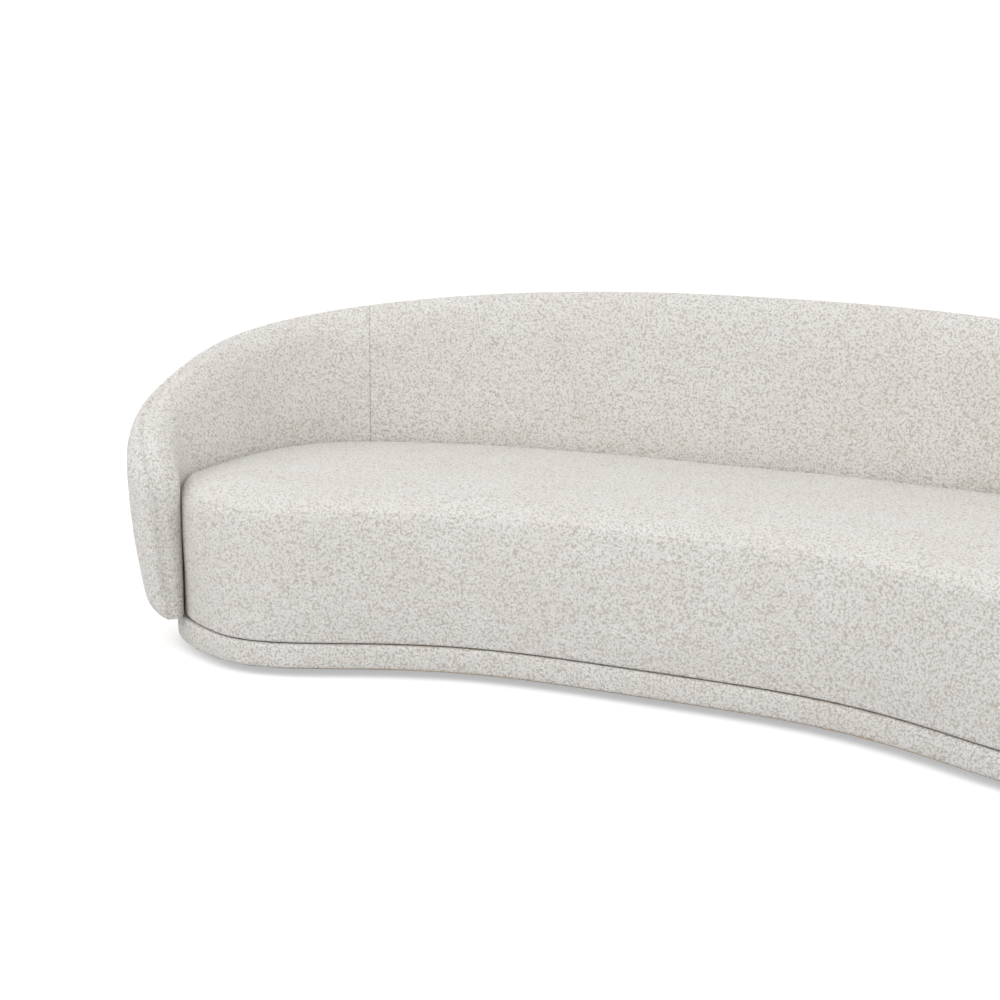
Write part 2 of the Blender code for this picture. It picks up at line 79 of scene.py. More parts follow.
def traceOutline():
    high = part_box("plinth_cover")[1]
    halfWidth = high.x - plan["plinthProud"]
    centreY = high.y - plan["plinthProud"] - plan["backReach"]
    turn = np.linspace(0.0, math.pi, plan["steps"] + 1)
    front = turn <= math.pi / 2
    power = 2 / np.where(front, plan["frontSquareness"], plan["backSquareness"])
    x = halfWidth * np.sin(turn).clip(0) ** power
    y = np.where(front, -plan["frontReach"], plan["backReach"]) * np.abs(np.cos(turn)) ** power
    across = np.clip(x / plan["dipHalfWidth"], 0, 1) ** plan["dipFullness"]
    y = y + np.where(front, plan["frontDip"] * (1 + np.cos(math.pi * across)) / 2, 0.0) + centreY
    loop = np.concatenate([np.column_stack([-x, y]), np.column_stack([x, y])[::-1][1:]])
    run = np.concatenate([[0.0], np.cumsum(np.linalg.norm(np.diff(loop, axis=0), axis=1))])
    along = np.gradient(loop, axis=0)
    along /= np.linalg.norm(along, axis=1, keepdims=True)
    return run, loop, np.column_stack([-along[:, 1], along[:, 0]])


outlineRun, outlineLoop, outlineOut = traceOutline()
length = outlineRun[-1]
half = length / 2


def findArmRun():
    left = outlineRun < half
    foremost = int(np.argmin(np.where(left, outlineLoop[:, 1], np.inf)))
    behind = left & (outlineRun > outlineRun[foremost])
    behind &= outlineLoop[:, 1] > outlineLoop[foremost, 1] + plan["armSetback"]
    return float(outlineRun[np.argmax(behind)])


armRun = findArmRun()
seamRun = armRun + plan["backSeam"]


def fromFront(run):
    run = np.mod(run, length)
    return np.minimum(run, length - run)


def spots(run, offset, height):
    # points at these runs, moved outwards from the outline
    run = np.mod(np.asarray(run, float), length)
    columns = []
    for k in (0, 1):
        base = np.interp(run, outlineRun, outlineLoop[:, k])
        out = np.interp(run, outlineRun, outlineOut[:, k])
        columns.append(base + out * offset)
    return np.stack([columns[0], columns[1], np.broadcast_to(height, columns[0].shape)], axis=-1)


def evenSteps(start, end, pitch):
    count = max(2, int(round(abs(end - start) / pitch)))
    return np.linspace(start, end, count + 1)


def gridFaces(ids, flip=False):
    # quads over a grid of vertex numbers
    a, b, c, d = ids[:-1, :-1], ids[1:, :-1], ids[1:, 1:], ids[:-1, 1:]
    quads = np.stack([a, b, c, d], axis=-1).reshape(-1, 4)
    return quads[:, ::-1] if flip else quads


def newMesh(name, points, faces, smooth=True):
    mesh = bpy.data.meshes.new(name)
    mesh.from_pydata(np.asarray(points).tolist(), [], np.asarray(faces).tolist())
    obj = bpy.data.objects.new(name, mesh)
    scene.collection.objects.link(obj)
    if smooth:
        mesh.shade_smooth()
    return obj


def facesOut(obj):
    # turns the whole mesh round if it is inside out
    mesh = obj.data
    size = np.empty(len(mesh.vertices) * 3)
    mesh.vertices.foreach_get("co", size)
    points = size.reshape(-1, 3)
    mesh.calc_loop_triangles()
    corners = np.empty(len(mesh.loop_triangles) * 3, np.int32)
    mesh.loop_triangles.foreach_get("vertices", corners)
    a, b, c = (points[corners.reshape(-1, 3)[:, k]] for k in range(3))
    if np.einsum("ij,ij->", a, np.cross(b, c)) < 0:
        mesh.flip_normals()


# stuffing: pressure from inside, held at the seams
stuffing = {
    "pressure": 4.0,
    "frames": 20,
    "stiffness": 18.0,
    "bending": 2.5,
    "mass": 0.25,
}


def readPoints(mesh):
    values = np.empty(len(mesh.vertices) * 3)
    mesh.vertices.foreach_get("co", values)
    return values.reshape(-1, 3)


def stuff(name, points, faces, held, mostMove):
    # cloth with pressure on a copy of the form; returns its points, moved at most this far
    work = newMesh(name, points, faces)
    facesOut(work)
    group = work.vertex_groups.new(name="held")
    for weight in np.unique(np.round(held, 2)):
        if weight > 0:
            group.add(np.nonzero(np.round(held, 2) == weight)[0].tolist(), float(weight), "REPLACE")
    cloth = work.modifiers.new("stuffing", "CLOTH")
    setting = cloth.settings
    setting.quality = 5
    setting.mass = stuffing["mass"]
    setting.tension_stiffness = stuffing["stiffness"]
    setting.compression_stiffness = stuffing["stiffness"]
    setting.shear_stiffness = stuffing["stiffness"] / 2
    setting.bending_stiffness = stuffing["bending"]
    setting.use_pressure = True
    setting.uniform_pressure_force = stuffing["pressure"]
    setting.vertex_group_mass = "held"
    setting.effector_weights.gravity = 0.0
    cloth.collision_settings.use_collision = False
    cloth.point_cache.frame_start = 1
    cloth.point_cache.frame_end = stuffing["frames"]
    for step in range(1, stuffing["frames"] + 1):
        scene.frame_set(step)
    graph = bpy.context.evaluated_depsgraph_get()
    moved = readPoints(work.evaluated_get(graph).data) - points
    scene.frame_set(1)
    mesh = work.data
    bpy.data.objects.remove(work, do_unlink=True)
    bpy.data.meshes.remove(mesh)
    far = np.linalg.norm(moved, axis=1, keepdims=True)
    print(name, "pressed out by up to", round(float(far.max()) * 1000, 1), "mm")
    far = np.maximum(far, 1e-9)
    return points + moved / far * np.tanh(far / mostMove) * mostMove * (1 - held[:, None])


def refine(name, points, faces, panelOf, marks):
    # one level of subdivision; marks are values of each point that go along with it
    work = newMesh(name, points, faces)
    facesOut(work)
    mesh = work.data
    for _ in range(int(panelOf.max()) + 1):
        mesh.materials.append(None)
    mesh.polygons.foreach_set("material_index", panelOf.astype(np.int32))
    for key, values in marks.items():
        mark = mesh.attributes.new(key, "FLOAT", "POINT")
        mark.data.foreach_set("value", values.astype(np.float32))
    level = work.modifiers.new("finer", "SUBSURF")
    level.levels = 1
    level.render_levels = 1
    level.boundary_smooth = "ALL"
    graph = bpy.context.evaluated_depsgraph_get()
    finer = work.evaluated_get(graph).to_mesh()
    result = {"points": readPoints(finer), "marks": {}}
    for key in marks:
        values = np.empty(len(finer.vertices), np.float32)
        finer.attributes[key].data.foreach_get("value", values)
        result["marks"][key] = values.astype(float)
    corners = np.empty(len(finer.loops), np.int32)
    finer.loops.foreach_get("vertex_index", corners)
    result["faces"] = corners.reshape(-1, 4)
    panel = np.empty(len(finer.polygons), np.int32)
    finer.polygons.foreach_get("material_index", panel)
    result["panel"] = panel
    bpy.data.objects.remove(work, do_unlink=True)
    bpy.data.meshes.remove(mesh)
    return result


def pointNormals(points, faces):
    a, b, c, d = (points[faces[:, k]] for k in range(4))
    flat = np.cross(c - a, d - b)
    normal = np.zeros_like(points)
    for k in range(4):
        for axis in range(3):
            normal[:, axis] += np.bincount(faces[:, k], flat[:, axis], len(points))
    return normal / np.maximum(np.linalg.norm(normal, axis=1, keepdims=True), 1e-12)


def furrow(gap, width):
    # a seam's cross-section: steep at the stitches, level at its sides
    return np.clip(1 - gap / width, 0.0, 1.0) ** 2


def slowWaves(points, size, seed):
    # a soft unevenness between -1 and 1, from a few slow waves
    turn = np.random.default_rng(seed)
    total = np.zeros(len(points))
    for _ in range(7):
        way = turn.normal(size=3)
        way /= np.linalg.norm(way) * size * turn.uniform(0.6, 1.4)
        total += np.sin(points @ way * 2 * math.pi + turn.uniform(0, 6.28))
    return total / 3.5


thinning = {
    "reach": 0.06,             # the padding is full this far in from an edge
    "footAllowance": 0.002,
    "atEdge": 0.12,            # share of the padding that is left at the edge
}


def panelObject(name, form, index, thickness):
    # one sewn panel with its padding, which thins out to its edges, as a closed piece
    faces = form["faces"][form["panel"] == index]
    used, numbers = np.unique(faces, return_inverse=True)
    obj = newMesh(name, form["points"][used], numbers.reshape(-1, 4))
    marks = form["marks"]
    near = np.minimum(marks["edge"], marks["low"] + thinning["footAllowance"])[used]
    thick = np.round(ease(near, 0.0, thinning["reach"]), 2)
    group = obj.vertex_groups.new(name="thick")
    for weight in np.unique(thick):
        group.add(np.nonzero(thick == weight)[0].tolist(), float(weight), "REPLACE")
    pad = obj.modifiers.new("padding", "SOLIDIFY")
    pad.thickness = thickness
    pad.offset = -1
    pad.vertex_group = "thick"
    pad.thickness_vertex_group = thinning["atEdge"]
    return obj


# shape of the shell's two faces
shell = {
    "outerFoot": 0.075,
    "outerHead": 0.122,
    "flareFullness": 3.4,
    "armGap": 0.004,
    "armLean": 0.060,
    "backLean": 0.160,
    "armFront": 0.370,         # height where the arm's front edge starts to turn back
    "rimStart": 2.26,
    "rimEnd": 1.98,
    "rimRound": 0.055,         # depth over which the wall rounds off to its seam
    "noseRound": 0.034,        # and on the inside of the arm's front edge
    "noseGap": 0.002,          # the arm's inner face stands this close to the seat
    "footOutside": 0.050,      # the outer face turns in under the wall
    "footInside": 0.008,
    "outsideTuck": 0.92,       # how far, as a share of half the thickness
    "insideTuck": 0.20,
    "tipRound": 0.012,
    "pitch": 0.0155,
    "rows": 26,
    "seamDeep": 0.0085,
    "seamWide": 0.0038,
    "backSeamDeep": 0.0022,
    "mostMove": 0.005,
    "waves": 0.0007,
    "padding": 0.009,
}
shellLow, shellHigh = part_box("outer_cover")
shellFoot = shellLow.z
rimTop = shellHigh.z
padLow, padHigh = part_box("seat_top_pad")
seatTop = padHigh.z
seatSeam = padLow.z


def outerOffset(height):
    rise = np.clip((height - shellFoot) / (rimTop - shellFoot), 0.0, 1.0)
    spread = shell["outerHead"] - shell["outerFoot"]
    return shell["outerFoot"] + spread * (1 - (1 - rise) ** shell["flareFullness"])


def innerOffset(run, height):
    lean = shell["backLean"] * np.maximum(height - seatTop, 0.0)
    arm = shell["armGap"] + shell["armLean"] * (np.minimum(height, seatTop) - shellFoot)
    back = ease(fromFront(run), armRun + plan["pressFrom"], armRun + plan["pressTo"])
    return arm * (1 - back) - plan["backPress"] * back + lean


def closeOffset(run, height):
    # the inner face where it closes up to the seat
    lean = shell["backLean"] * np.maximum(height - seatTop, 0.0)
    back = ease(fromFront(run), armRun + plan["pressFrom"], armRun + plan["pressTo"])
    return shell["noseGap"] * (1 - back) - plan["backPress"] * back + lean


def rimHeight(run):
    share = np.clip((fromFront(run) - armRun) / (half - armRun), 0.0, 1.0)
    climb = (1 - (1 - share) ** shell["rimStart"]) ** (1 / shell["rimEnd"])
    return shell["armFront"] + (rimTop - shell["armFront"]) * climb


def footHeight(run):
    # the arm's front edge turns under in a round tip
    near = np.clip(1 - (fromFront(run) - armRun) / shell["tipRound"], 0.0, 1.0)
    return shellFoot + shell["tipRound"] * (1 - np.sqrt(1 - near ** 2))


edgeTurns = np.radians([0, 3, 6.5, 11, 17, 25, 34, 44, 55, 67, 79, 90])
footSteps = np.array([0.0, 0.0002, 0.0010, 0.0030, 0.0065, 0.0120, 0.0190, 0.0280, 0.0380, 0.0500])
beside = np.array([0.0025, 0.0055, 0.0100, 0.0170])   # rows close to a seam


def shellColumns():
    # runs from the left arm's front edge to the right one's, closer together at edges and seams
    nose = armRun + shell["rimRound"] * (1 - np.cos(edgeTurns))
    arm = evenSteps(nose[-1], seamRun - beside[-1], shell["pitch"])
    back = evenSteps(seamRun + beside[-1], half, shell["pitch"])
    left = np.concatenate([nose[:-1], arm, seamRun - beside[-2::-1], [seamRun]])
    left = np.concatenate([left, seamRun + beside[:-1], back])
    return np.concatenate([left, (length - left[::-1])[1:]])


def edgeLine():
    # the seam's path up the arm's front edge and along the rim: (run, height)
    rise = np.linspace(shellFoot - 0.1, shell["armFront"], 40)
    front = np.column_stack([np.full(40, armRun), rise])
    share = np.linspace(0, 1, 900) ** 2.2
    runs = armRun + (half + 0.2 - armRun) * share
    rim = np.column_stack([runs, rimHeight(np.minimum(runs, half))])
    return np.concatenate([front, rim[1:]])


def distanceToLine(points, line):
    start, end = line[:-1], line[1:]
    along = end - start
    size = np.maximum((along ** 2).sum(1), 1e-12)
    best = np.full(len(points), np.inf)
    for first in range(0, len(points), 2000):
        block = points[first:first + 2000, None, :]
        share = np.clip(((block - start) * along).sum(2) / size, 0, 1)
        gap = np.linalg.norm(block - (start + along * share[..., None]), axis=2)
        best[first:first + 2000] = gap.min(1)
    return best


def rounded(gap, radius):
    # a quarter round: 0 at the edge, 1 from this distance inwards
    short = np.clip(1 - gap / radius, 0.0, 1.0)
    return np.sqrt(1 - short ** 2)


def shellChart():
    # run, height, height over the foot and distance to the seam, over the wall
    runs = shellColumns()
    rows = []
    for run, low, high in zip(runs, footHeight(runs), rimHeight(runs)):
        top = high - shell["rimRound"] * (1 - np.cos(edgeTurns[:-1]))
        bottom = low + footSteps
        inner = np.linspace(bottom[-1], top[-1], shell["rows"] + 2)[1:-1]
        rows.append(np.concatenate([bottom, inner, top[::-1]]))
    height = np.array(rows)
    run = np.broadcast_to(runs[:, None], height.shape)
    chart = np.column_stack([fromFront(run).ravel(), height.ravel()])
    edge = distanceToLine(chart, edgeLine()).reshape(height.shape)
    edge[:, -1] = 0.0
    foot = np.maximum(height - footHeight(run), 0.0)
    return run, height, foot, edge


def makeShell():
    run, height, foot, edge = shellChart()
    inner, outer = innerOffset(run, height), outerOffset(height)
    middle, reach = (inner + outer) / 2, (outer - inner) / 2
    nose = 1 - ease(fromFront(run), armRun, armRun + 0.45)
    insideRound = shell["rimRound"] + (shell["noseRound"] - shell["rimRound"]) * nose
    insideTurn = 1 - shell["insideTuck"] * (1 - rounded(foot, shell["footInside"]))
    outsideTurn = 1 - shell["outsideTuck"] * (1 - rounded(foot, shell["footOutside"]))
    insideReach = (middle - closeOffset(run, height)) * rounded(edge, insideRound) * insideTurn
    outsideReach = reach * rounded(edge, shell["rimRound"]) * outsideTurn
    columns, rows = run.shape
    insideReach[:, 0] = 0.0
    insidePoints = spots(run, middle - insideReach, height)
    outsidePoints = spots(run, middle + outsideReach, height)
    # the two faces share their border
    free = np.ones(run.shape, bool)
    free[[0, -1], :] = False
    free[:, [0, -1]] = False
    insideIds = np.arange(columns * rows).reshape(columns, rows)
    outsideIds = insideIds.copy()
    outsideIds[free] = columns * rows + np.arange(free.sum())
    points = np.concatenate([insidePoints.reshape(-1, 3), outsidePoints[free]])
    inside, outside = gridFaces(insideIds), gridFaces(outsideIds, flip=True)
    faces = np.concatenate([inside, outside])
    # panels: 0 inside left, 1 inside back, 2 inside right, 3 outside
    middleRun = run[:-1, :-1].ravel() + 1e-6
    panel = (middleRun > seamRun).astype(int) + (middleRun > length - seamRun)
    panel = np.concatenate([panel, np.full(len(outside), 3)])
    toSeam = np.minimum(np.abs(fromFront(run) - seamRun), 1.0)
    marks = {
        "edge": np.concatenate([edge.ravel(), edge[free]]),
        "side": np.concatenate([toSeam.ravel(), np.ones(free.sum())]),
        "low": np.concatenate([(height - shellFoot).ravel(), (height - shellFoot)[free]]),
    }
    # held at the rim's seam, at the foot, and where the seat hides it
    held = 1 - ease(marks["edge"], 0.0, 0.012)
    held = np.maximum(held, 1 - ease(marks["low"], 0.01, 0.04))
    hidden = 1 - ease(insidePoints[..., 2].ravel(), seatTop - 0.03, seatTop + 0.04)
    hidden = hidden * ease(fromFront(run).ravel(), armRun + 0.02, armRun + 0.10)
    held[:hidden.size] = np.maximum(held[:hidden.size], hidden)
    points = stuff("shellStuffing", points, faces, held, shell["mostMove"])
    form = refine("shellForm", points, faces, panel, marks)
    marks = form["marks"]
    normal = pointNormals(form["points"], form["faces"])
    sink = shell["seamDeep"] * furrow(marks["edge"], shell["seamWide"])
    sink = np.maximum(sink, shell["backSeamDeep"] * furrow(marks["side"], shell["seamWide"]))
    calm = ease(marks["edge"], 0.0, 0.05) * ease(marks["low"], 0.0, 0.05)
    lift = shell["waves"] * slowWaves(form["points"], 0.22, 3) * calm
    form["points"] = form["points"] + normal * (lift - sink)[:, None]
    return form


# shape of the seat
seat = {
    "cornerFront": 1.000,      # runs where the top's grid has its corners
    "cornerBack": 1.750,
    "pitch": 0.0145,
    "tuck": 0.008,             # rounding along the bottom edge
    "lift": 0.0035,            # gap over the plinth
    "bulge": 0.004,
    "endLean": 0.002,          # the ends lean in a little towards the plinth
    "rollFrom": 0.021,         # the edge starts to roll over this far below the seam
    "rollFront": 0.056,        # how far back it rolls
    "rollEnd": 0.060,
    "rollArm": 0.035,
    "rollBack": 0.012,
    "crown": 0.008,
    "crownReach": 0.300,
    "seamDeep": 0.0010,
    "seamWide": 0.0100,
    "mostMove": 0.006,
    "waves": 0.0008,
    "padding": 0.009,
}
plinthLow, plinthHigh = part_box("plinth_cover")
seatFoot = plinthHigh.z + seat["lift"]


def seatOffset(run):
    # the seat is cut back where the shell presses in on it
    deep = plan["backPress"] + plan["pressClearance"]
    start = armRun + plan["pressFrom"] - 0.02
    return -deep * ease(fromFront(run), start, armRun + plan["pressTo"] - 0.02)


def seatRing():
    # runs round the seat, side by side between the corners of the top's grid
    front = evenSteps(-seat["cornerFront"], seat["cornerFront"], seat["pitch"])
    across = len(front) - 1
    left = evenSteps(seat["cornerFront"], seat["cornerBack"], seat["pitch"])
    deep = len(left) - 1
    back = np.linspace(seat["cornerBack"], length - seat["cornerBack"], across + 1)
    right = np.linspace(length - seat["cornerBack"], length - seat["cornerFront"], deep + 1)
    return np.concatenate([front[:-1], left[:-1], back[:-1], right[:-1]]), across, deep


rollBase = seatSeam - seat["rollFrom"]


def rollDepth(run):
    near = fromFront(run)
    depth = seat["rollFront"] + (seat["rollEnd"] - seat["rollFront"]) * ease(near, 0.6, 1.0)
    depth = depth + (seat["rollArm"] - seat["rollEnd"]) * ease(near, 1.08, 1.26)
    return depth + (seat["rollBack"] - seat["rollArm"]) * ease(near, 1.26, 1.45)


def sideOffset(run, height):
    share = np.clip((height - seatFoot) / (seatSeam - seatFoot), 0.0, 1.0)
    end = ease(fromFront(run), 0.80, 1.05)
    lean = -seat["endLean"] * end * (1 - share) ** 2
    front = 1 - ease(fromFront(run), armRun - 0.03, armRun + 0.05)
    bulge = seat["bulge"] * np.sin(math.pi * share) * front
    over = np.clip((height - rollBase) / (seatTop - rollBase), 0.0, 1.0)
    return seatOffset(run) + lean + bulge - rollDepth(run) * (1 - np.sqrt(1 - over ** 2))


def coonsGrid(bottom, left, top, right):
    # fills four rows of points; bottom and top run the same way, and so do left and right
    s = np.linspace(0, 1, len(bottom))[:, None, None]
    t = np.linspace(0, 1, len(left))[None, :, None]
    ruled = (1 - t) * bottom[:, None] + t * top[:, None]
    ruled = ruled + (1 - s) * left[None] + s * right[None]
    corners = (1 - s) * (1 - t) * bottom[0] + s * (1 - t) * bottom[-1]
    corners = corners + (1 - s) * t * top[0] + s * t * top[-1]
    return ruled - corners


def makeSeat():
    runs, across, deep = seatRing()
    count = len(runs)
    tuck = seat["tuck"]
    turns = np.radians([90, 60, 30, 0])
    rows = [(seatFoot, -2.2 * tuck)]
    rows += [(seatFoot + tuck * (1 - np.sin(a)), -tuck * (1 - np.cos(a))) for a in turns]
    main = evenSteps(seatFoot + tuck, seatSeam - beside[-1], seat["pitch"] * 1.1)[1:-1]
    rows += [(h, 0.0) for h in main]
    rows += [(seatSeam - gap, 0.0) for gap in beside[::-1]] + [(seatSeam, 0.0)]
    side = [spots(runs, sideOffset(runs, h) + extra, h) for h, extra in rows]
    start = math.asin((seatSeam - rollBase) / (seatTop - rollBase))
    shoulder = []
    for share in (0.045, 0.10, 0.18, 0.28, 0.39, 0.51, 0.63, 0.75, 0.87, 1.0):
        angle = start + (math.pi / 2 - start) * share
        height = rollBase + (seatTop - rollBase) * math.sin(angle)
        shoulder.append(spots(runs, sideOffset(runs, height), height))
    rings = np.array(side + shoulder)
    ids = np.arange(rings.shape[0] * count).reshape(rings.shape[0], count)
    closed = np.concatenate([ids, ids[:, :1]], axis=1)
    ringFaces = gridFaces(closed)
    # the top inside the last ring
    last = rings[-1]
    lastIds = ids[-1]
    frontRow = np.arange(0, across + 1)
    leftRow = np.arange(across, across + deep + 1)
    backRow = np.arange(across + deep, 2 * across + deep + 1)[::-1]
    rightRow = np.append(np.arange(2 * across + deep, count), 0)[::-1]
    grid = coonsGrid(last[frontRow], last[rightRow], last[backRow], last[leftRow])
    gridIds = np.full(grid.shape[:2], -1)
    gridIds[:, 0] = lastIds[frontRow]
    gridIds[:, -1] = lastIds[backRow]
    gridIds[0, :] = lastIds[rightRow]
    gridIds[-1, :] = lastIds[leftRow]
    free = gridIds < 0
    gridIds[free] = rings.shape[0] * count + np.arange(free.sum())
    points = np.concatenate([rings.reshape(-1, 3), grid[free]])
    topFaces = gridFaces(gridIds, flip=True)
    sideRows = len(side)
    # crown: the top rises away from the shoulder
    seamLine = np.concatenate([side[-1][:, :2], side[-1][:1, :2]])
    toSeam = distanceToLine(points[:, :2], seamLine)
    onTop = np.zeros(len(points))
    onTop[sideRows * count:] = 1.0
    points[:, 2] += seat["crown"] * ease(toSeam, 0.02, seat["crownReach"]) * onTop
    faces = np.concatenate([ringFaces, topFaces])
    # panels: 0 boxing, 1 top
    panel = np.zeros(len(faces), int)
    panel[(sideRows - 1) * count:] = 1
    runOf = np.concatenate([np.tile(runs, rings.shape[0]), np.zeros(free.sum())])
    below = np.abs(points[:, 2] - seatSeam)
    gap = np.where(onTop > 0, np.hypot(toSeam, below), below)
    marks = {"edge": gap, "low": points[:, 2] - seatFoot}
    held = 1 - ease(gap, 0.0, 0.014)
    held = np.maximum(held, 1 - ease(marks["low"], 0.008, 0.035))
    hidden = ease(fromFront(runOf), armRun - 0.02, armRun + 0.06) * (points[:, 2] < seatTop - 0.004)
    held = np.maximum(held, hidden)
    points = stuff("seatStuffing", points, faces, held, seat["mostMove"])
    form = refine("seatForm", points, faces, panel, marks)
    marks = form["marks"]
    normal = pointNormals(form["points"], form["faces"])
    sink = seat["seamDeep"] * furrow(marks["edge"], seat["seamWide"])
    calm = ease(marks["edge"], 0.0, 0.05) * ease(marks["low"], 0.0, 0.05)
    lift = seat["waves"] * slowWaves(form["points"], 0.25, 8) * calm
    form["points"] = form["points"] + normal * (lift - sink)[:, None]
    return form


# the padded band round the plinth
plinth = {
    "round": 0.007,
    "bulge": 0.0015,
    "topBack": 0.030,
    "topThick": 0.0012,
    "pitch": 0.0145,
    "cover": 0.0020,
}


def plinthOffset(run):
    start, end = armRun + plan["proudFrom"], armRun + plan["proudTo"]
    return plan["plinthProud"] * ease(fromFront(run), start, end)


def makePlinth():
    count = int(round(length / plinth["pitch"]))
    runs = np.arange(count) * length / count
    low, high = plinthLow.z, plinthHigh.z + plinth["topThick"]
    radius = plinth["round"]
    turns = np.radians([90, 72, 54, 36, 18, 0])
    rows = [(high, -plinth["topBack"])]
    rows += [(high - radius * (1 - math.sin(a)), -radius * (1 - math.cos(a))) for a in turns]
    middle = np.linspace(high - radius, low + radius, 6)[1:-1]
    rows += [(h, 0.0) for h in middle]
    rows += [(low + radius * (1 - math.sin(a)), -radius * (1 - math.cos(a))) for a in turns[::-1]]
    rows += [(low, -plinth["topBack"])]
    rings = []
    for height, offset in rows:
        share = (height - low) / (high - low)
        bulge = plinth["bulge"] * math.sin(math.pi * share)
        rings.append(spots(runs, plinthOffset(runs) + offset + bulge, height))
    ids = np.arange(len(rows) * count).reshape(len(rows), count)
    closed = np.concatenate([ids, ids[:, :1]], axis=1)
    obj = newMesh("plinthBand", np.concatenate(rings), gridFaces(closed, flip=True))
    pad = obj.modifiers.new("cloth", "SOLIDIFY")
    pad.thickness = plinth["cover"]
    pad.offset = -1
    return obj


# shader sockets that take part in sums
class Wire:
    def __init__(self, nodes, socket):
        self.nodes = nodes
        self.socket = socket

    def sum(self, operation, *values):
        node = self.nodes.new("ShaderNodeMath")
        node.operation = operation
        for slot, value in zip(node.inputs, values):
            connect(slot, value)
        return Wire(self.nodes, node.outputs[0])

    def __add__(self, other):
        return self.sum("ADD", self, other)

    def __radd__(self, other):
        return self.sum("ADD", other, self)

    def __sub__(self, other):
        return self.sum("SUBTRACT", self, other)

    def __rsub__(self, other):
        return self.sum("SUBTRACT", other, self)

    def __mul__(self, other):
        return self.sum("MULTIPLY", self, other)

    def __rmul__(self, other):
        return self.sum("MULTIPLY", other, self)

    def __truediv__(self, other):
        return self.sum("DIVIDE", self, other)

    def __pow__(self, other):
        return self.sum("POWER", self, other)

    def __abs__(self):
        return self.sum("ABSOLUTE", self)


def connect(slot, value):
    if isinstance(value, Wire):
        slot.id_data.links.new(value.socket, slot)
    else:
        slot.default_value = value


class Finish:
    # one material: its shader's fixed values, and the nodes that lead to it
    def __init__(self, name, **fixed):
        self.material = bpy.data.materials.new(name)
        self.material.use_nodes = True
        self.nodes = self.material.node_tree.nodes
        self.shader = self.nodes["Principled BSDF"]
        for key, value in fixed.items():
            self.shader.inputs[key].default_value = value

    def node(self, kind, settings, sockets, output=0):
        node = self.nodes.new("ShaderNode" + kind)
        for key, value in settings.items():
            if key == "stops":
                ramp = node.color_ramp
                while len(ramp.elements) < len(value):
                    ramp.elements.new(1.0)
                for stop, (place, color) in zip(ramp.elements, value):
                    stop.position = place
                    stop.color = (*color, 1.0)
            else:
                setattr(node, key, value)
        for key, value in sockets.items():
            connect(node.inputs[key], value)
        return Wire(self.nodes, node.outputs[output])

    def blend(self, factor, first, second):
        sockets = {0: factor, 6: first, 7: second}
        return self.node("Mix", {"data_type": "RGBA"}, sockets, output=2)

    def smooth(self, value, low, high):
        settings = {"interpolation_type": "SMOOTHSTEP"}
        sockets = {"Value": value, "From Min": low, "From Max": high}
        return self.node("MapRange", settings, sockets)

    def place(self, stretch=(1.0, 1.0, 1.0)):
        where = self.node("TexCoord", {}, {}, output=3)
        return self.node("Mapping", {}, {"Vector": where, "Scale": stretch})

    def drive(self, **wires):
        for key, wire in wires.items():
            connect(self.shader.inputs[key.replace("_", " ")], wire)


# looped wool cloth, with painted shade between the nubs and painted highlight on the nub tops
boucle = {
    # yarn is the cloth's own pale tone, made lighter on the nub tops as painted highlight; gap is
    # the darker, warmer tone between the nubs, which is painted shade
    "yarn": (0.985, 0.970, 0.945),
    "gap": (0.680, 0.635, 0.570),
    "warm": (0.965, 0.940, 0.905),
    "nubScale": 205.0,         # nubs about 5 mm across
    "curlScale": 400.0,
    "wander": 0.0030,
    "bump": 0.0036,
    "bumpStrength": 1.0,
}


def makeBoucle():
    cloth = Finish("loopedWool", **{
        "Roughness": 0.95, "Specular IOR Level": 0.12,
        "Sheen Weight": 0.25, "Sheen Roughness": 0.45, "Sheen Tint": (1.0, 0.98, 0.95, 1.0)})
    where = cloth.place()
    drift = cloth.node("TexNoise", {}, {"Vector": where, "Scale": 130.0, "Detail": 2.0}, output=1)
    drift = cloth.node("VectorMath", {"operation": "SUBTRACT"}, {0: drift, 1: (0.5, 0.5, 0.5)})
    drift = cloth.node("VectorMath", {"operation": "SCALE"}, {
        0: drift, "Scale": boucle["wander"] * 2})
    bent = cloth.node("VectorMath", {"operation": "ADD"}, {0: where, 1: drift})
    nub = cloth.node("TexVoronoi", {"feature": "SMOOTH_F1"}, {
        "Vector": bent, "Scale": boucle["nubScale"], "Smoothness": 0.35, "Randomness": 1.0})
    curl = cloth.node("TexNoise", {}, {
        "Vector": bent, "Scale": boucle["curlScale"], "Detail": 2.0, "Roughness": 0.55})
    ridge = 1 - abs(curl - 0.5) * 5.0
    mound = 1 - nub * 1.35
    height = mound * 0.70 + ridge * 0.30
    # painted shade and highlight: this mask follows the bump height, dark in the low gaps between
    # the nubs and light on their raised tops
    shade = cloth.smooth(height, 0.14, 0.54)
    slow = cloth.node("TexNoise", {}, {"Vector": where, "Scale": 6.0, "Detail": 3.0})
    yarn, warm = (*boucle["yarn"], 1.0), (*boucle["warm"], 1.0)
    tone = cloth.blend(cloth.smooth(slow, 0.35, 0.65), yarn, warm)
    # the base colour mixes the painted shade of the gaps into the cloth's tone, leaving the nub
    # tops as painted highlight
    color = cloth.blend(shade, (*boucle["gap"], 1.0), tone)
    bump = cloth.node("Bump", {}, {
        "Strength": boucle["bumpStrength"], "Distance": boucle["bump"], "Height": height})
    cloth.drive(Base_Color=color, Normal=bump)
    return cloth.material


